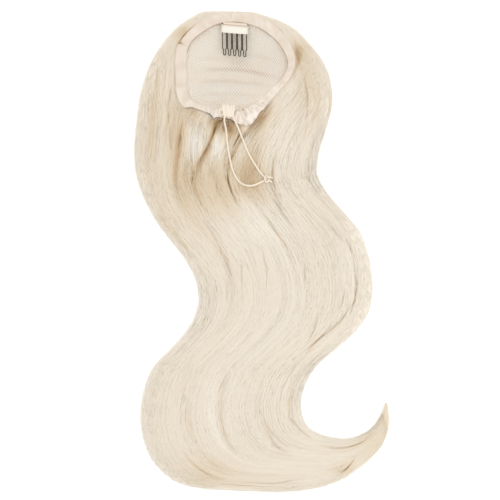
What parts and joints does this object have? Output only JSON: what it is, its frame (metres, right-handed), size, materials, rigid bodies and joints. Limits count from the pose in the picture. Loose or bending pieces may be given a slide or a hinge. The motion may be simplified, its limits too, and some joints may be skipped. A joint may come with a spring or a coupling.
{
  "type": "drawstring ponytail hairpiece",
  "caption": "Long wavy ponytail hairpiece with a net bowl, a gathered casing with drawstring, and a wire comb.",
  "frame": {"origin": "on the surface the hairpiece lies on, under the middle of the hair's outline", "axes": "+Y from the ends of the hair to the crown, +Z out of the open cap, +X to the right seen from above"},
  "size_m": [0.2806, 0.5305, 0.0445],
  "materials": {
    "hair": "soft sheen, combed strands",
    "netting": "matt woven net",
    "ribbon": "matt knitted ribbon",
    "wire": "black coated wire",
    "tab": "smooth ribbon",
    "string": "braided elastic"
  },
  "bodies": {
    "root": {"hair": "hair", "cap_net": "netting", "rim_casing": "ribbon", "comb": "wire", "comb_tab": "tab", "rim_knot": "string", "drawstring_left": "string", "drawstring_right": "string", "drawstring_knot": "string"}
  },
  "joints": []
}
